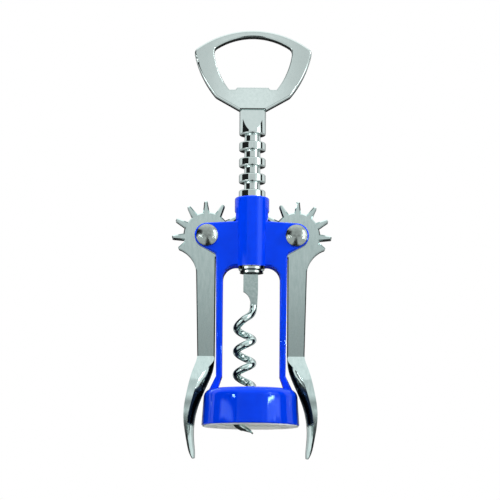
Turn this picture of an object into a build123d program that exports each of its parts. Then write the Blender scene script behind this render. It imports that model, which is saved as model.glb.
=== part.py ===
from build123d import *
import os
from math import asin, atan2, cos, degrees, hypot, pi, radians, sin, tan

# A wing corkscrew with a crown-cap opener, in millimetres, +Z up.
# The origin is the centre of the bell's rim, on the axis of the spindle.
# X runs across the two levers and Y from front (-) to back (+). It stands at rest:
# levers down, spindle up. Screwing the worm into a cork draws the spindle down,
# and its ribs turn the pinions, which raises the levers.

# ---------------------------------------------------------------- clearances
running_clearance = 0.05  # radial, round a pivot or a turning neck
guide_clearance = 0.10  # radial, between the ribs and the barrel's bore
side_clearance = 0.10  # each side of a lever's boss in its slot
press_clearance = 0.02  # at pieces that are riveted or pushed home
sweep_clearance = 1.0  # between the pinion's tips and the end of its slot
arm_gap = 0.1  # between a lever's arm and the leg beside it
collar_play = 0.10  # axial play of the end collar

# ---------------------------------------------------------------------- bell
bottle_radius = 15.25  # bore that takes the mouth of a bottle
liner_wall = 1.6
liner_roof = 1.5
liner_flange = 0.45
liner_lead_in = 1.0
flange_inset = 0.4
bell_rim_wall = 3.25
bell_taper = 1.0
bell_height = 15.3
bell_roof = 2.0
bell_shoulder = 3.5
bell_rim_round = 0.4
worm_hole_radius = 8.5

# --------------------------------------------------------------------- frame
window_height = 50.9
window_half_width = 11.8
window_corner = 5.6
leg_thickness = 3.0
leg_draft = 0.5
leg_depth = 9.0
foot_height = 5.2
foot_inner_spread = 1.8
foot_outer_spread = 3.7
foot_bury = 3.3
frame_edge = 0.8
barrel_wall = 1.5
barrel_length = 29.2
barrel_round = 0.9
ear_radius = 5.2
ear_root_height = 5.9  # above the pivots, where the ear meets the barrel
ear_under_slope = 28.0
ear_under_round = 1.6
pivot_height = 12.8  # above the top of the window

# ------------------------------------------------------------------- spindle
rib_radius = 5.58
neck_radius = 3.35
rack_pitch = 6.8
rib_height = 3.7
rib_round = 0.7
ribs_below_pivot = 2
ribs_above_pivot = 6
rack_lift = 0.6  # the gap that holds a tooth at rest is this far above the pivots
foot_length = 4.0
foot_flange_radius = 4.9
foot_flange_height = 0.8
collar_radius = 5.4
collar_chamfer = 0.6

# ------------------------------------------------------------- opener's head
head_thickness = 5.0
head_half_width = 24.9
head_neck_height = 10.5  # of the round neck below the flat head
head_waist_height = 16.2
head_waist_half_width = 15.6
head_corner_height = 36.1
head_height = 44.9
head_bulge = 1.55
head_corner_round = 2.2
head_waist_round = 4.0
head_edge = 0.9
head_bar = 2.65
tongue_cut = 0.9  # how high the flat on the neck starts above its lower end
hole_half_width = 16.35
hole_widest_height = 34.6
hole_arch_rise = 5.3
hole_bulge = 1.15
hole_edge = 0.5
hole_corner_half_width = 10.0
hole_corner_round = 2.4
lip_half_width = 6.45
lip_height = 20.25
lip_rise = 0.9

# -------------------------------------------------------------------- levers
lever_thickness = 4.4
lever_edge = 0.45
boss_thickness = 4.8
boss_radius = 6.0
rivet_radius = 2.5
rivet_head_radius = 4.5
rivet_head_height = 1.9
rivet_head_rim = 0.35
teeth_per_turn = 12
addendum = 1.6
dedendum = 3.1
tooth_tip_width = 1.35
tooth_root_width = 2.7
tooth_round = 0.45
tooth_root_round = 0.6
meshing_teeth = 7
heel_angle = 26.0  # below the pivot, where the arm's neck ends on the pitch circle
heel_point_angle = 4.0
heel_root_angle = 14.0
arm_neck_width = 8.1
arm_foot_width = 7.2
arm_foot_height = 28.8
neck_drop = 15.0
neck_sag = 1.7
handle_gap = 1.7  # between the bell's rim and the belly of a handle
handle_half_width = 7.8
handle_drop = 13.0  # how far the tip reaches below the rim
# Sections down a handle, below the arm's foot. After its height come four shares: of the
# belly's way out from the arm's inner side to the gap beside the rim, of the arm's foot
# for its depth, of that depth for its flat flank, and of the handle's half width.
arm_flank = 0.94
handle_sections = [
    (24.5, 0.05, 1.11, 0.78, 0.54),
    (20.0, 0.24, 1.13, 0.50, 0.78),
    (14.5, 0.59, 0.97, 0.44, 0.95),
    (7.0, 1.00, 0.75, 0.43, 1.00),
    (0.0, 1.18, 0.56, 0.33, 0.92),
    (-6.5, 1.17, 0.42, 0.28, 0.80),
    (-handle_drop, 1.13, 0.17, 0.27, 0.50),
]
# Sections down the dish in its outer side: height, depth, share of the half width.
dish_sections = [
    (27.0, -0.4, 0.18),
    (20.0, 2.0, 0.56),
    (14.5, 2.5, 0.72),
    (7.0, 2.2, 0.78),
    (0.0, 1.4, 0.70),
    (-6.5, 0.4, 0.48),
    (-10.5, -0.4, 0.25),
]
dish_margin = 1.0  # how far the dish's cut starts outside that side

# ---------------------------------------------------------------------- worm
wire_radius = 1.5
coil_radius = 3.35
coil_offset = -2.6
coil_pitch = 9.65
coil_turns = 4.19
point_turns = 0.25
point_radius = 0.35
coil_drop = 22.95  # from the spindle's foot to the top of the coil
lead_in_front = 3.6  # above the coil, where the wire passes in front of its axis
lead_in_pull = 1.6  # how much further than at the coil it keeps to the shank's line
lead_in_x = 0.95
lead_in_height = 9.7
shank_left = -3.35
shank_right = 2.75
shank_thickness = 2.0
shank_height = 7.7
shank_overlap = 0.3  # of the flat over the round wire
notch_width = 0.65
notch_drop = 1.9
tang_width = 4.0
tang_height = 8.0
pin_radius = 0.8
pin_height = 2.2
pin_inset = 0.1

# ------------------------------------------------- what follows from the above
bell_cavity_radius = bottle_radius + liner_wall
bell_rim_radius = bell_cavity_radius + bell_rim_wall
bell_top_radius = bell_rim_radius - bell_taper
cavity_top = bell_height - bell_roof
window_top = bell_height + window_height
bore_radius = rib_radius + guide_clearance
barrel_radius = bore_radius + barrel_wall
leg_outer = window_half_width + leg_thickness
arm_inner = leg_outer + arm_gap
foot_top = bell_height + foot_height
pivot_z = window_top + pivot_height
pitch_radius = teeth_per_turn * rack_pitch / (2 * pi)
pivot_x = rib_radius + pitch_radius
pivot = (pivot_x, pivot_z)
tip_radius = pitch_radius + addendum
root_radius = pitch_radius - dedendum
slot_radius = tip_radius + sweep_clearance
slot_width = boss_thickness + 2 * side_clearance
tooth_step = 360 / teeth_per_turn
tooth_phase = degrees(rack_lift / pitch_radius)
rib_heights = [
    pivot_z + rack_lift + (i + 0.5) * rack_pitch
    for i in range(-ribs_below_pivot, ribs_above_pivot)
]
rack_bottom = rib_heights[0] - rib_height / 2
head_bottom = rib_heights[-1] - rib_height / 2 + rack_pitch
spindle_foot = rack_bottom - foot_length
coil_top = spindle_foot - coil_drop


def polar(center, radius, angle):
    """The point at a radius and an angle in degrees from a centre."""
    return (center[0] + radius * cos(radians(angle)), center[1] + radius * sin(radians(angle)))


# --------------------------------------------------------------- frame casting
# Bell, two legs, barrel and ears are one casting. An ear's top is the tangent from
# the barrel's side to its round end, and its underside slopes down to the leg.
ear_run = pivot_x - barrel_radius
ear_fall = atan2(ear_root_height, ear_run) - asin(ear_radius / hypot(ear_run, ear_root_height))
ear_top = polar(pivot, ear_radius, 90 - degrees(ear_fall))
ear_under = polar(pivot, ear_radius, ear_under_slope - 90)
barrel_shoulder = pivot_z + ear_root_height + barrel_radius * tan(ear_fall)
leg_shoulder = ear_under[1] - (ear_under[0] - leg_outer) * tan(radians(ear_under_slope))

with BuildPart() as frame:
    with BuildSketch(Plane.XZ) as web_outline:
        with BuildLine():
            Line((0, barrel_shoulder), ear_top)
            ThreePointArc(ear_top, polar(pivot, ear_radius, 0), ear_under)
            Polyline(
                ear_under,
                (leg_outer, leg_shoulder),
                (leg_outer - leg_draft, foot_top),
                (leg_outer + foot_outer_spread, bell_height - foot_bury),
                (0, bell_height - foot_bury),
                (0, barrel_shoulder),
            )
        make_face()
        fillet(web_outline.vertices().sort_by_distance((leg_outer, leg_shoulder))[0], ear_under_round)
        mirror(about=Plane.YZ)
    extrude(amount=leg_depth / 2, both=True)
    with BuildSketch(Plane.XZ) as window:
        with BuildLine():
            Polyline(
                (0, bell_height),
                (window_half_width + foot_inner_spread, bell_height),
                (window_half_width, foot_top),
                (window_half_width, window_top),
                (0, window_top),
            )
            mirror(about=Plane.YZ)
        make_face()
        fillet(window.vertices().group_by(Axis.Y)[-1].group_by(Axis.X)[0], window_corner)
        fillet(window.vertices().group_by(Axis.Y)[-1].group_by(Axis.X)[-1], window_corner)
    extrude(amount=leg_depth / 2, both=True, mode=Mode.SUBTRACT)
    web_faces = frame.faces().filter_by(Axis.Y)
    fillet(web_faces.edges(), frame_edge)

    with BuildSketch(Plane.XY.offset(window_top)):
        Circle(barrel_radius)
    extrude(amount=barrel_length)
    fillet(frame.edges().group_by(Axis.Z)[-1], barrel_round)

    with BuildSketch(Plane.XZ) as bell_profile:
        with BuildLine():
            Polyline(
                (0, liner_flange),
                (bell_rim_radius, liner_flange),
                (bell_top_radius, bell_height),
                (0, bell_height),
                close=True,
            )
        make_face()
        fillet(bell_profile.vertices().sort_by_distance((bell_top_radius, bell_height))[0], bell_shoulder)
        fillet(bell_profile.vertices().sort_by_distance((bell_rim_radius, liner_flange))[0], bell_rim_round)
    revolve(axis=Axis.Z)

    with BuildSketch(Plane.XY):
        Circle(bell_cavity_radius)
    extrude(amount=cavity_top, mode=Mode.SUBTRACT)
    with BuildSketch(Plane.XY):
        Circle(worm_hole_radius)
    extrude(amount=bell_height, mode=Mode.SUBTRACT)
    with BuildSketch(Plane.XY.offset(window_top)):
        Circle(bore_radius)
    extrude(amount=barrel_length, mode=Mode.SUBTRACT)
    with BuildSketch(Plane.XZ):
        with Locations(pivot, (-pivot_x, pivot_z)):
            Circle(slot_radius)
    extrude(amount=slot_width / 2, both=True, mode=Mode.SUBTRACT)
    with BuildSketch(Plane.XZ):
        with Locations(pivot, (-pivot_x, pivot_z)):
            Circle(rivet_radius + press_clearance)
    extrude(amount=leg_depth, both=True, mode=Mode.SUBTRACT)

# ------------------------------------------------------------------ bell liner
# A moulded cup in the bell: it seats a bottle's mouth and keeps the metal off the glass.
with BuildPart() as bell_liner:
    with BuildSketch(Plane.XZ):
        with BuildLine():
            Polyline(
                (bottle_radius + liner_lead_in, 0),
                (bell_rim_radius - flange_inset, 0),
                (bell_rim_radius - flange_inset, liner_flange),
                (bell_cavity_radius - press_clearance, liner_flange),
                (bell_cavity_radius - press_clearance, cavity_top),
                (worm_hole_radius, cavity_top),
                (worm_hole_radius, cavity_top - liner_roof),
                (bottle_radius, cavity_top - liner_roof),
                (bottle_radius, liner_lead_in),
                close=True,
            )
        make_face()
    revolve(axis=Axis.Z)

# ---------------------------------------------------------------- pivot rivets
# Each head is a cap of a sphere whose centre is on the rivet's axis.
head_seat = leg_depth / 2
dome_base = head_seat + rivet_head_rim
dome_rise = rivet_head_height - rivet_head_rim
dome_radius = (rivet_head_radius**2 + dome_rise**2) / (2 * dome_rise)
dome_centre = dome_base + dome_rise - dome_radius
dome_angle = degrees(asin(rivet_head_radius / dome_radius))
with BuildPart() as rivet:
    with BuildSketch() as rivet_profile:
        with BuildLine():
            Polyline(
                (0, 0),
                (rivet_radius, 0),
                (rivet_radius, head_seat),
                (rivet_head_radius, head_seat),
                (rivet_head_radius, dome_base),
            )
            CenterArc((0, dome_centre), dome_radius, 90 - dome_angle, dome_angle)
            Line((0, dome_centre + dome_radius), (0, 0))
        make_face()
        mirror(about=Plane.XZ)
    revolve(axis=Axis.Y)

with BuildPart() as right_rivet:
    with Locations((pivot_x, 0, pivot_z)):
        add(rivet.part)

with BuildPart() as left_rivet:
    with Locations((-pivot_x, 0, pivot_z)):
        add(rivet.part)

# --------------------------------------------------------------------- spindle
# The head is a flat ring with a lip that hooks under a crown cap.
head_base = head_bottom + head_neck_height
head_top = head_bottom + head_height
head_corner = (head_half_width, head_bottom + head_corner_height)
head_waist = (head_waist_half_width, head_bottom + head_waist_height)
head_side = ((head_corner[0] + head_waist[0]) / 2 + head_bulge, (head_corner[1] + head_waist[1]) / 2)
lip_top = head_bottom + lip_height
hole_top = head_top - head_bar
hole_shoulder = (hole_half_width, hole_top - hole_arch_rise)
hole_widest = (hole_half_width, head_bottom + hole_widest_height)
hole_corner = (hole_corner_half_width, lip_top - lip_rise)
hole_side = ((hole_widest[0] + hole_corner[0]) / 2 + hole_bulge, (hole_widest[1] + hole_corner[1]) / 2)

with BuildPart() as opener_head:
    with BuildSketch(Plane.XZ) as head_outline:
        with BuildLine():
            TangentArc((0, head_top), head_corner, tangent=(1, 0))
            ThreePointArc(head_corner, head_side, head_waist)
            Polyline(head_waist, (rib_radius, head_base), (0, head_base), (0, head_top))
        make_face()
        fillet(head_outline.vertices().sort_by_distance(head_corner)[0], head_corner_round)
        fillet(head_outline.vertices().sort_by_distance(head_waist)[0], head_waist_round)
        mirror(about=Plane.YZ)
    extrude(amount=head_thickness / 2, both=True)
    fillet(opener_head.faces().filter_by(Axis.Y).edges(), head_edge)
    with BuildSketch(Plane.XZ) as cap_hole:
        with BuildLine():
            TangentArc((0, hole_top), hole_shoulder, tangent=(1, 0))
            Line(hole_shoulder, hole_widest)
            ThreePointArc(hole_widest, hole_side, hole_corner)
            Polyline(
                hole_corner,
                (lip_half_width + lip_rise, hole_corner[1]),
                (lip_half_width, lip_top),
                (0, lip_top),
                (0, hole_top),
            )
        make_face()
        fillet(cap_hole.vertices().sort_by_distance(hole_shoulder)[0], hole_corner_round)
        mirror(about=Plane.YZ)
    extrude(amount=head_thickness / 2, both=True, mode=Mode.SUBTRACT)
    head_sides = opener_head.faces().filter_by(Axis.Y)
    fillet(head_sides[0].inner_wires().edges() + head_sides[-1].inner_wires().edges(), hole_edge)

# Its neck and ribs are turned, so the levers follow it up and down while it turns.
tongue_foot = head_bottom + tongue_cut
with BuildPart() as opener_spindle:
    with BuildSketch(Plane.XZ) as rack_profile:
        with Locations((neck_radius / 2, (spindle_foot + head_bottom) / 2)):
            Rectangle(neck_radius, head_bottom - spindle_foot)
        with Locations(*[(rib_radius / 2, z) for z in rib_heights]):
            Rectangle(rib_radius, rib_height)
        with Locations((foot_flange_radius / 2, spindle_foot + foot_flange_height / 2)):
            Rectangle(foot_flange_radius, foot_flange_height)
        with Locations((rib_radius / 2, (head_bottom + head_base) / 2)):
            Rectangle(rib_radius, head_base - head_bottom)
        fillet(rack_profile.vertices().group_by(Axis.X)[-1], rib_round)
    revolve(axis=Axis.Z)
    with BuildSketch(Plane.YZ):
        with BuildLine():
            Polyline(
                (head_thickness / 2, head_base),
                (rib_radius, tongue_foot),
                (2 * rib_radius, tongue_foot),
                (2 * rib_radius, head_base),
                close=True,
            )
        make_face()
        mirror(about=Plane.YZ)
    extrude(amount=2 * rib_radius, both=True, mode=Mode.SUBTRACT)
    add(opener_head.part)
    with BuildSketch(Plane.XY.offset(spindle_foot)):
        Rectangle(tang_width + 2 * press_clearance, shank_thickness + 2 * press_clearance)
    extrude(amount=tang_height + press_clearance, mode=Mode.SUBTRACT)
    with BuildSketch(Plane.XZ):
        with Locations((0, spindle_foot + pin_height)):
            Circle(pin_radius + press_clearance)
    extrude(amount=rib_radius, both=True, mode=Mode.SUBTRACT)

# ------------------------------------------------------------------- end collar
collar_bottom = spindle_foot + foot_flange_height + collar_play
collar_top = rack_bottom - collar_play
with BuildPart() as end_collar:
    with BuildSketch(Plane.XY.offset(collar_bottom)):
        Circle(collar_radius)
        Circle(neck_radius + running_clearance, mode=Mode.SUBTRACT)
    extrude(amount=collar_top - collar_bottom)
    chamfer(end_collar.edges().filter_by(GeomType.CIRCLE).group_by(SortBy.RADIUS)[-1], collar_chamfer)

# ----------------------------------------------------------------------- levers
arm_outer_neck = arm_inner + arm_neck_width
arm_outer_foot = arm_inner + arm_foot_width
neck_z = pivot_z - neck_drop
heel_tip = polar(pivot, pitch_radius, -heel_angle)
heel_chord = hypot(heel_tip[0] - arm_outer_neck, heel_tip[1] - neck_z)
neck_middle = (
    (heel_tip[0] + arm_outer_neck) / 2 - neck_sag * (heel_tip[1] - neck_z) / heel_chord,
    (heel_tip[1] + neck_z) / 2 + neck_sag * (heel_tip[0] - arm_outer_neck) / heel_chord,
)
pinion_teeth = meshing_teeth + 1
first_tooth = 180 - tooth_phase - (meshing_teeth - 1) * tooth_step

with BuildSketch() as tooth:
    Polygon(
        (root_radius - tooth_root_round, -tooth_root_width / 2),
        (root_radius, -tooth_root_width / 2),
        (tip_radius, -tooth_tip_width / 2),
        (tip_radius, tooth_tip_width / 2),
        (root_radius, tooth_root_width / 2),
        (root_radius - tooth_root_round, tooth_root_width / 2),
        align=None,
    )
    fillet(tooth.vertices().group_by(Axis.X)[-1], tooth_round)

# The handle's sections in millimetres: height, belly, flank, outer side, half width.
belly_reach = bell_rim_radius + handle_gap - arm_inner
arm_section = (arm_foot_height, 0.0, 1.0, arm_flank, lever_thickness / 2 / handle_half_width)
handle_profiles = []
for height, reach, depth, flank, width in [arm_section] + handle_sections:
    belly = arm_inner + reach * belly_reach
    outer = belly + depth * arm_foot_width
    handle_profiles.append(
        (height, belly, outer - flank * depth * arm_foot_width, outer, width * handle_half_width)
    )


def outer_side(height):
    """How far from the axis a handle's outer side stands at a height."""
    for upper, lower in zip(handle_profiles, handle_profiles[1:]):
        if lower[0] <= height <= upper[0]:
            share = (height - lower[0]) / (upper[0] - lower[0])
            return lower[3] * (1 - share) + upper[3] * share


with BuildPart() as right_lever:
    with BuildSketch(Plane.XZ) as lever_outline:
        with Locations(pivot):
            Circle(root_radius)
        with BuildLine():
            ThreePointArc((arm_outer_neck, neck_z), neck_middle, heel_tip)
            Polyline(
                heel_tip,
                polar(pivot, pitch_radius, heel_point_angle - heel_angle),
                polar(pivot, root_radius - tooth_root_round, -heel_root_angle),
                pivot,
                (arm_inner, pivot_z),
                (arm_inner, arm_foot_height),
                (arm_outer_foot, arm_foot_height),
                (arm_outer_neck, neck_z),
            )
        make_face()
        with Locations(pivot):
            with PolarLocations(0, pinion_teeth, first_tooth, pinion_teeth * tooth_step):
                add(tooth.sketch)
    extrude(amount=lever_thickness / 2, both=True)
    arm_end = right_lever.faces().sort_by(Axis.Z)[0]
    chamfer(right_lever.faces().filter_by(Axis.Y).edges() - arm_end.edges(), lever_edge)
    with BuildSketch(Plane.XZ):
        with Locations(pivot):
            Circle(boss_radius)
    extrude(amount=boss_thickness / 2, both=True)
    for height, belly, flank, outer, half_width in handle_profiles:
        with BuildSketch(Plane.XY.offset(height)):
            with BuildLine():
                Polyline(
                    (flank, half_width), (outer, half_width), (outer, -half_width), (flank, -half_width)
                )
                ThreePointArc((flank, -half_width), (belly, 0), (flank, half_width))
            make_face()
    loft()
    for height, depth, width in dish_sections:
        outer = outer_side(height)
        half_width = width * handle_half_width
        with BuildSketch(Plane.XY.offset(height)):
            with BuildLine():
                Line((outer + dish_margin, half_width), (outer + dish_margin, -half_width))
                ThreePointArc(
                    (outer + dish_margin, -half_width), (outer - depth, 0), (outer + dish_margin, half_width)
                )
            make_face()
    loft(mode=Mode.SUBTRACT)
    with BuildSketch(Plane.XZ):
        with Locations(pivot):
            Circle(rivet_radius + running_clearance)
    extrude(amount=boss_thickness, both=True, mode=Mode.SUBTRACT)

with BuildPart() as left_lever:
    add(right_lever.part.mirror(Plane.YZ))

# ------------------------------------------------------------------------- worm
# Right-handed. The coil's wire rises in front of the axis into a flat shank.
coil_height = coil_turns * coil_pitch
point_height = point_turns * coil_pitch
coil_bottom_angle = 180 - 360 * coil_turns
coil_bottom = Plane(
    origin=(coil_offset, 0, coil_top - coil_height),
    x_dir=(cos(radians(coil_bottom_angle)), sin(radians(coil_bottom_angle)), 0),
    z_dir=(0, 0, 1),
)
coil_path = coil_bottom * Helix(coil_pitch, coil_height, coil_radius, mode=Mode.PRIVATE)
point_angle = coil_bottom_angle - 360 * point_turns
point_plane = Plane(
    origin=(coil_offset, 0, coil_top - coil_height - point_height),
    x_dir=(cos(radians(point_angle)), sin(radians(point_angle)), 0),
    z_dir=(0, 0, 1),
)
point_path = point_plane * Helix(coil_pitch, point_height, coil_radius, mode=Mode.PRIVATE)
shank_bottom = spindle_foot - shank_height
wire_top = coil_top + lead_in_height

with BuildPart() as worm:
    with BuildLine() as coil_line:
        add(coil_path)
        Spline(
            coil_path @ 1,
            (coil_offset, -coil_radius, coil_top + lead_in_front),
            (lead_in_x, 0, wire_top),
            tangents=(coil_path % 1, (0, 0, 1)),
            tangent_scalars=(1, lead_in_pull),
        )
    with BuildSketch(Plane(coil_path @ 0, z_dir=coil_path % 0)):
        Circle(wire_radius)
    sweep(path=coil_line.line)
    with BuildSketch(Plane(point_path @ 0, z_dir=point_path % 0)) as needle:
        Circle(point_radius)
    with BuildSketch(Plane(point_path @ 1, z_dir=point_path % 1)) as full_wire:
        Circle(wire_radius)
    sweep(sections=[needle.sketch, full_wire.sketch], path=point_path, multisection=True)
    with BuildSketch(Plane.XZ):
        with BuildLine():
            Polyline(
                (lead_in_x - wire_radius, wire_top - shank_overlap),
                (lead_in_x + wire_radius, wire_top - shank_overlap),
                (shank_right, shank_bottom),
                (shank_right, spindle_foot - press_clearance),
                (shank_left, spindle_foot - press_clearance),
                (shank_left, shank_bottom),
            )
            ThreePointArc(
                (shank_left, shank_bottom),
                (lead_in_x - wire_radius - notch_width, shank_bottom - notch_drop),
                (lead_in_x - wire_radius, wire_top - shank_overlap),
            )
        make_face()
    extrude(amount=shank_thickness / 2, both=True)
    with BuildSketch(Plane.XY.offset(spindle_foot - press_clearance)):
        Rectangle(tang_width, shank_thickness)
    extrude(amount=tang_height)
    with BuildSketch(Plane.XZ):
        with Locations((0, spindle_foot + pin_height)):
            Circle(pin_radius + press_clearance)
    extrude(amount=shank_thickness, both=True, mode=Mode.SUBTRACT)

with BuildPart() as worm_pin:
    with BuildSketch(Plane.XZ):
        with Locations((0, spindle_foot + pin_height)):
            Circle(pin_radius)
    extrude(amount=neck_radius - pin_inset, both=True)

# ------------------------------------------------------------------------ write
pieces = {
    "frame": frame,
    "bell_liner": bell_liner,
    "left_rivet": left_rivet,
    "right_rivet": right_rivet,
    "left_lever": left_lever,
    "right_lever": right_lever,
    "opener_spindle": opener_spindle,
    "end_collar": end_collar,
    "worm": worm,
    "worm_pin": worm_pin,
}
os.makedirs("parts", exist_ok=True)
for name, piece in pieces.items():
    piece.part.label = name
    export_step(piece.part, f"parts/{name}.step")
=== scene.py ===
from math import cos, radians, sin
import bpy
from mathutils import Matrix, Vector

# A wing corkscrew in blue enamel and chrome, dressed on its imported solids. Lengths are
# in metres, +Z is up, -Y is the front, and the origin is the centre of the bell's rim.
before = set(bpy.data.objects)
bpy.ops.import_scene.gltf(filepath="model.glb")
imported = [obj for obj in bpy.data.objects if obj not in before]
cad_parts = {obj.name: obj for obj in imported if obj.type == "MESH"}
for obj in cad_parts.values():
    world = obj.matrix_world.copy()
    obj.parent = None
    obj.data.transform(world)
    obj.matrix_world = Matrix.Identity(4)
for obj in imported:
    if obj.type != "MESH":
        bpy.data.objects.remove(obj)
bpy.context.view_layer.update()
bpy.ops.object.select_all(action="DESELECT")

MM = 0.001


# ------------------------------------------------------------------- small helpers
def linear(hex_colour):
    """An sRGB hex colour as linear red, green, blue and full alpha."""
    channels = [int(hex_colour[start : start + 2], 16) / 255 for start in (1, 3, 5)]
    return (*[c / 12.92 if c <= 0.04045 else ((c + 0.055) / 1.055) ** 2.4 for c in channels], 1.0)


def add_node(tree, kind, values=None, **settings):
    """Adds a node with its settings, and gives its inputs numbers, colours or other nodes' sockets."""
    node = tree.nodes.new(kind)
    for name, value in settings.items():
        setattr(node, name, value)
    for socket, value in (values or {}).items():
        if isinstance(value, bpy.types.NodeSocket):
            tree.links.new(value, node.inputs[socket])
        else:
            node.inputs[socket].default_value = value
    return node


def around(azimuth, elevation, distance, height):
    """A point round the axis, seen from a height on it: azimuth 0 is in front, 90 to the right."""
    level = distance * cos(radians(elevation))
    side = level * sin(radians(azimuth))
    front = -level * cos(radians(azimuth))
    return Vector((side, front, height + distance * sin(radians(elevation))))


# ---------------------------------------------------------------------- materials
def new_finish(name):
    """A material, its node tree and its Principled shader."""
    finish = bpy.data.materials.new(name)
    finish.use_nodes = True
    return finish, finish.node_tree, finish.node_tree.nodes["Principled BSDF"]


def dress(finish, *nodes):
    """Gives whole nodes of the frame their finish."""
    for node in nodes:
        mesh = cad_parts[node].data
        mesh.materials.clear()
        mesh.materials.append(finish)


def blue_enamel():
    # Stoved gloss enamel on a zinc casting: deep even colour under a wet-looking skin,
    # with the faint ripple that a sprayed coat keeps.
    ripple_width = 3.5 * MM
    ripple_depth = 0.03 * MM
    finish, tree, shader = new_finish("blue_stoved_enamel")
    place = add_node(tree, "ShaderNodeTexCoord")
    ripple = add_node(
        tree,
        "ShaderNodeTexNoise",
        {"Vector": place.outputs["Object"], "Scale": 1 / ripple_width, "Detail": 1.0},
    )
    shade = add_node(
        tree,
        "ShaderNodeMix",
        {"Factor": ripple.outputs["Fac"], "A": linear("#003CEC"), "B": linear("#0042F8")},
        data_type="RGBA",
    )
    bump = add_node(
        tree,
        "ShaderNodeBump",
        {"Height": ripple.outputs["Fac"], "Strength": 0.10, "Distance": ripple_depth},
    )
    # For rays from mirrors the base colour turns near black, a painted dark reflection, so the chrome beside
    # it mirrors the frame nearly black.
    path = add_node(tree, "ShaderNodeLightPath")
    seen = add_node(
        tree,
        "ShaderNodeMix",
        {"Factor": path.outputs["Is Glossy Ray"], "A": shade.outputs["Result"], "B": linear("#08080C")},
        data_type="RGBA",
    )
    tree.links.new(seen.outputs["Result"], shader.inputs["Base Color"])
    tree.links.new(bump.outputs["Normal"], shader.inputs["Normal"])
    shader.inputs["Roughness"].default_value = 0.04
    shader.inputs["IOR"].default_value = 1.5
    shader.inputs["Specular Tint"].default_value = linear("#7CAAFF")
    return finish


def pale_nylon():
    # Moulded nylon: soft, slightly waxy grey-white with a fine satin grain.
    grain_width = 0.6 * MM
    grain_depth = 0.03 * MM
    finish, tree, shader = new_finish("pale_moulded_nylon")
    place = add_node(tree, "ShaderNodeTexCoord")
    grain = add_node(
        tree,
        "ShaderNodeTexNoise",
        {"Vector": place.outputs["Object"], "Scale": 1 / grain_width, "Detail": 2.0},
    )
    shade = add_node(
        tree,
        "ShaderNodeMix",
        {"Factor": grain.outputs["Fac"], "A": linear("#E4EAE4"), "B": linear("#EEF2EC")},
        data_type="RGBA",
    )
    bump = add_node(
        tree,
        "ShaderNodeBump",
        {"Height": grain.outputs["Fac"], "Strength": 0.2, "Distance": grain_depth},
    )
    tree.links.new(shade.outputs["Result"], shader.inputs["Base Color"])
    tree.links.new(bump.outputs["Normal"], shader.inputs["Normal"])
    shader.inputs["Roughness"].default_value = 0.45
    shader.inputs["IOR"].default_value = 1.53
    return finish


def polished_metal(name, dull, bright, roughness, spread, wave_width, wave_depth, stroke=1.0):
    # Polished metal, plated or bare: a mirror that the low waves of hand polishing bend a
    # little. Fine marks in it go from dull and rougher to bright and smoother. The spread is
    # how far the roughness goes either way, and the stroke draws the marks out upwards.
    mark_width = 1.2 * MM
    finish, tree, shader = new_finish(name)
    place = add_node(tree, "ShaderNodeTexCoord")
    waves = add_node(
        tree,
        "ShaderNodeTexNoise",
        {"Vector": place.outputs["Object"], "Scale": 1 / wave_width, "Detail": 1.0},
    )
    along = add_node(
        tree,
        "ShaderNodeMapping",
        {"Vector": place.outputs["Object"], "Scale": (1, 1, 1 / stroke)},
    )
    haze = add_node(
        tree,
        "ShaderNodeTexNoise",
        {"Vector": along.outputs["Vector"], "Scale": 1 / mark_width, "Detail": 3.0},
    )
    marks = add_node(
        tree,
        "ShaderNodeMapRange",
        {"Value": haze.outputs["Fac"], "From Min": 0.3, "From Max": 0.7},
    )
    tone = add_node(
        tree,
        "ShaderNodeMix",
        {"Factor": marks.outputs["Result"], "A": linear(dull), "B": linear(bright)},
        data_type="RGBA",
    )
    gloss = add_node(
        tree,
        "ShaderNodeMapRange",
        {"Value": marks.outputs["Result"], "To Min": roughness + spread, "To Max": roughness - spread},
    )
    bump = add_node(
        tree,
        "ShaderNodeBump",
        {"Height": waves.outputs["Fac"], "Strength": 0.15, "Distance": wave_depth},
    )
    tree.links.new(gloss.outputs["Result"], shader.inputs["Roughness"])
    tree.links.new(bump.outputs["Normal"], shader.inputs["Normal"])
    tree.links.new(tone.outputs["Result"], shader.inputs["Base Color"])
    shader.inputs["Metallic"].default_value = 1.0
    return finish


dress(blue_enamel(), "frame")
dress(pale_nylon(), "bell_liner")

# Satin chromium on a zinc casting: a cool, faintly green mirror with marks drawn along the arm.
satin_chrome = polished_metal(
    "satin_chrome_lever",
    dull="#C3D9D7",
    bright="#D2E6E4",
    roughness=0.12,
    spread=0.03,
    wave_width=9 * MM,
    wave_depth=0.05 * MM,
    stroke=4.0,
)
dress(satin_chrome, "left_lever", "right_lever")

# Bright chromium on a polished zinc casting: a sharper mirror with deeper waves.
bright_chrome = polished_metal(
    "bright_chrome_spindle",
    dull="#C3D2D0",
    bright="#CAD8D6",
    roughness=0.07,
    spread=0.015,
    wave_width=9 * MM,
    wave_depth=0.12 * MM,
)
dress(bright_chrome, "opener_spindle", "end_collar")

# Chromium on the rivet heads: a darker grey than the other chrome, painted shade over the whole dome, with
# soft highlights.
soft_chrome = polished_metal(
    "soft_chrome_rivet",
    dull="#909B97",
    bright="#9EA9A5",
    roughness=0.21,
    spread=0.02,
    wave_width=4 * MM,
    wave_depth=0.02 * MM,
)
dress(soft_chrome, "left_rivet", "right_rivet")

# Plated spring-steel wire, drawn and then coiled: a clear mirror, slightly uneven along the turns.
plated_wire = polished_metal(
    "plated_spring_wire",
    dull="#B6CECC",
    bright="#D0E4E2",
    roughness=0.08,
    spread=0.02,
    wave_width=3 * MM,
    wave_depth=0.03 * MM,
)
dress(plated_wire, "worm")

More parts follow.
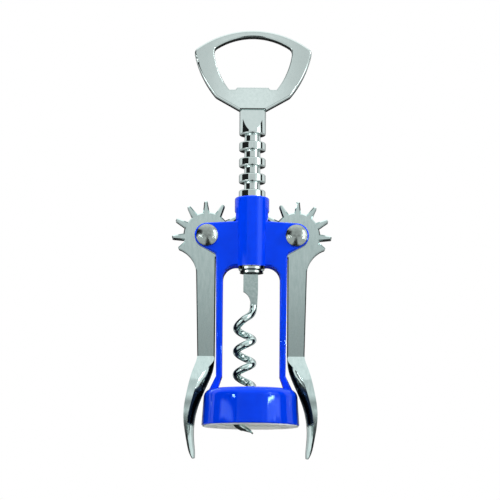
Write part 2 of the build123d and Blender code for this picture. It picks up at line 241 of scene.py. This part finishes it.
# Bare drawn steel: neutral grey and half dull.
bare_steel = polished_metal(
    "bare_steel_pin",
    dull="#A0A3A2",
    bright="#AEB1B0",
    roughness=0.3,
    spread=0.05,
    wave_width=2 * MM,
    wave_depth=0.02 * MM,
)
dress(bare_steel, "worm_pin")


# ------------------------------------------------------------------------- studio
# The wall in front, the glow of a dark flag, and the share of a card that a crisp edge takes.
front_distance = 1.50
front_width = 1.50
dark = 0.02
crisp_edge = 0.002


def make_world(room_light):
    """A white surround for the eye, for mirrors and for glass, and a plain level of room
    light on everything."""
    white = (1.0, 1.0, 1.0, 1.0)
    world = bpy.data.worlds.new("studio")
    world.use_nodes = True
    tree = world.node_tree
    tree.nodes.clear()
    path = add_node(tree, "ShaderNodeLightPath")
    seen = add_node(
        tree,
        "ShaderNodeMath",
        {0: path.outputs["Is Camera Ray"], 1: path.outputs["Is Glossy Ray"]},
        operation="MAXIMUM",
    )
    seen = add_node(
        tree,
        "ShaderNodeMath",
        {0: seen.outputs[0], 1: path.outputs["Is Transmission Ray"]},
        operation="MAXIMUM",
    )
    room = add_node(tree, "ShaderNodeBackground", {"Color": white, "Strength": room_light})
    surround = add_node(tree, "ShaderNodeBackground", {"Color": white, "Strength": 1.0})
    mixed = add_node(
        tree,
        "ShaderNodeMixShader",
        {0: seen.outputs[0], 1: room.outputs[0], 2: surround.outputs[0]},
    )
    add_node(tree, "ShaderNodeOutputWorld", {"Surface": mixed.outputs[0]})
    bpy.context.scene.world = world


def light_card(name, place, turn, width, height, glow, top_glow, edge):
    """A card that only mirrors see. It glows from one strength at its foot to another at its
    top, and fades out over its edge, which is a share of its width and height."""
    bpy.ops.mesh.primitive_plane_add(size=1, location=place, rotation=turn)
    card = bpy.context.object
    card.name = name
    card.scale = (width, height, 1)
    material, tree, shader = new_finish(name)
    tree.nodes.remove(shader)
    face = add_node(tree, "ShaderNodeTexCoord")
    split = add_node(tree, "ShaderNodeSeparateXYZ", {0: face.outputs["Object"]})
    ramp = add_node(
        tree,
        "ShaderNodeMapRange",
        {"Value": split.outputs["Y"], "From Min": -0.5, "From Max": 0.5, "To Min": glow, "To Max": top_glow},
    )
    across = add_node(tree, "ShaderNodeMath", {0: split.outputs["X"]}, operation="ABSOLUTE")
    along = add_node(tree, "ShaderNodeMath", {0: split.outputs["Y"]}, operation="ABSOLUTE")
    farthest = add_node(
        tree,
        "ShaderNodeMath",
        {0: across.outputs[0], 1: along.outputs[0]},
        operation="MAXIMUM",
    )
    fade = add_node(
        tree,
        "ShaderNodeMapRange",
        {"Value": farthest.outputs[0], "From Min": 0.5, "From Max": 0.5 - edge},
        interpolation_type="SMOOTHSTEP",
    )
    emission = add_node(tree, "ShaderNodeEmission", {"Strength": ramp.outputs["Result"]})
    clear = add_node(tree, "ShaderNodeBsdfTransparent")
    faded = add_node(
        tree,
        "ShaderNodeMixShader",
        {0: fade.outputs["Result"], 1: clear.outputs[0], 2: emission.outputs[0]},
    )
    tree.links.new(faded.outputs[0], tree.nodes["Material Output"].inputs["Surface"])
    card.data.materials.append(material)
    card.visible_camera = False
    card.visible_diffuse = False
    card.visible_shadow = False
    card.visible_transmission = False


def upright_card(name, azimuth, distance, width, foot, top, glow, top_glow=None, edge=crisp_edge):
    """A standing card that faces the axis, from one height to another. It glows evenly where
    its top has no glow of its own."""
    if top_glow is None:
        top_glow = glow
    place = around(azimuth, 0, distance, (foot + top) / 2)
    turn = (radians(90), 0, radians(azimuth))
    light_card(name, place, turn, width, top - foot, glow, top_glow, edge)


def front_card(name, foot, top, glow, top_glow):
    """One band of the wide wall in front."""
    upright_card(name, 0, front_distance, front_width, foot, top, glow, top_glow)


def level_card(name, y, height, width, length, glow):
    """A lying card at a height, centred left to right."""
    light_card(name, Vector((0, y, height)), (0, 0, 0), width, length, glow, glow, crisp_edge)


def soft_lamp(name, azimuth, elevation, distance, width, height, power, aim):
    """A soft lamp that shines on a height of the axis. The eye and mirrors don't see it."""
    place = around(azimuth, elevation, distance, aim)
    turn = (Vector((0, 0, aim)) - place).to_track_quat("-Z", "Y").to_euler()
    bpy.ops.object.light_add(type="AREA", location=place, rotation=turn)
    lamp = bpy.context.object
    lamp.name = name
    lamp.data.shape = "RECTANGLE"
    lamp.data.size = width
    lamp.data.size_y = height
    lamp.data.energy = power
    lamp.visible_camera = False
    lamp.visible_glossy = False


make_world(room_light=0.13)

# In front: a wall in bands, darkest where the feet of the arms mirror it and brightest
# where the opener's head does.
front_card("front_foot", foot=-0.20, top=-0.02, glow=0.85, top_glow=0.85)
front_card("front_knee", foot=-0.02, top=0.12, glow=0.60, top_glow=0.40)
front_card("front_low", foot=0.12, top=0.20, glow=0.40, top_glow=0.36)
front_card("front_mid", foot=0.20, top=0.26, glow=0.36, top_glow=0.60)
front_card("front_wall", foot=0.26, top=0.48, glow=0.57, top_glow=0.92)
upright_card(
    "front_glow", azimuth=0, distance=1.49, width=0.11,
    foot=0.38, top=0.60, glow=1.12, top_glow=1.18, edge=0.35,
)
front_card("front_top", foot=0.48, top=1.20, glow=0.80, top_glow=0.70)

# At the sides: dark flags and bright strips for the round bars.
upright_card("left_flag", azimuth=-66, distance=1.25, width=1.62, foot=0.00, top=1.10, glow=dark)
upright_card("right_strip", azimuth=53, distance=1.20, width=0.19, foot=0.255, top=1.00, glow=8.0)
upright_card(
    "right_glow", azimuth=67, distance=1.22, width=0.32,
    foot=0.255, top=1.00, glow=1.7, top_glow=1.9,
)
upright_card("right_flag", azimuth=87, distance=1.25, width=0.42, foot=0.00, top=1.10, glow=dark)

# Behind: a board on each side, and a dark flag for the edges turned down and away.
upright_card("back_left", azimuth=-152, distance=1.25, width=0.95, foot=-0.05, top=1.40, glow=0.60)
upright_card("back_right", azimuth=152, distance=1.25, width=0.95, foot=-0.05, top=1.40, glow=0.60)
upright_card("back_flag", azimuth=180, distance=1.20, width=0.80, foot=-0.05, top=0.50, glow=dark)

# Close by: small soft boxes for the patches and glints on the bell, and for the rivets.
upright_card(
    "left_patch", azimuth=-58, distance=0.267, width=0.21,
    foot=0.0470, top=0.0580, glow=4.0, top_glow=3.4, edge=0.25,
)
upright_card(
    "right_patch", azimuth=56, distance=0.253, width=0.18,
    foot=0.0455, top=0.0570, glow=4.0, edge=0.20,
)
upright_card(
    "right_streak", azimuth=57.5, distance=0.266, width=0.030,
    foot=0.0460, top=0.0570, glow=8.0, edge=0.20,
)
upright_card(
    "left_glint", azimuth=-40.5, distance=0.268, width=0.045,
    foot=0.0620, top=0.0640, glow=70, edge=0.20,
)
upright_card(
    "right_glint", azimuth=50.2, distance=0.268, width=0.10,
    foot=0.0580, top=0.0615, glow=70, edge=0.20,
)
upright_card(
    "left_rivet_card", azimuth=-50, distance=0.30, width=0.22,
    foot=0.074, top=0.118, glow=4.2, edge=0.35,
)
upright_card(
    "right_rivet_card", azimuth=52, distance=0.30, width=0.22,
    foot=0.074, top=0.165, glow=3.2, edge=0.35,
)

# Below: a board that reaches far back, with a dark card near on it and another far off, and
# a dark strip in front, all for the faces turned down. Above: a bright board.
level_card("low_near", y=0.06, height=-0.049, width=0.12, length=0.28, glow=0.03)
level_card("low_far", y=1.15, height=-0.049, width=0.70, length=1.30, glow=dark)
level_card("low_back", y=0.86, height=-0.05, width=3.0, length=1.88, glow=0.50)
level_card("low_front", y=-0.62, height=-0.05, width=0.09, length=1.1, glow=dark)
level_card("overhead", y=0.10, height=1.20, width=1.4, length=1.4, glow=1.4)

soft_lamp(
    "key_lamp", azimuth=-8, elevation=54, distance=0.37,
    width=0.22, height=0.22, power=1.95, aim=0.13,
)
soft_lamp(
    "left_lamp", azimuth=-75, elevation=32, distance=1.1,
    width=0.10, height=0.10, power=5, aim=0.08,
)
soft_lamp(
    "right_lamp", azimuth=75, elevation=22, distance=1.1,
    width=0.12, height=0.10, power=8, aim=0.08,
)
soft_lamp(
    "back_lamp", azimuth=165, elevation=46, distance=0.40,
    width=0.25, height=0.25, power=1.8, aim=0.12,
)
soft_lamp(
    "low_lamp", azimuth=-10, elevation=-68, distance=0.28,
    width=0.12, height=0.12, power=0.37, aim=0.0,
)


# ------------------------------------------------------------------------- camera
def add_camera():
    """Slightly below the bell's rim, looking up along the spindle through a long lens."""
    distance = 0.800
    drop = 0.049
    aside = -0.0007
    pitch = 8.7
    roll = 0.44
    turn = Matrix.Rotation(radians(90 + pitch), 3, "X") @ Matrix.Rotation(radians(roll), 3, "Z")
    bpy.ops.object.camera_add(location=(aside, -distance, -drop), rotation=turn.to_euler())
    camera = bpy.context.object
    camera.data.sensor_width = 36.0
    camera.data.lens = 140.0
    camera.data.clip_start = 0.01
    bpy.context.scene.camera = camera


add_camera()
bpy.context.scene.view_settings.view_transform = "Standard"
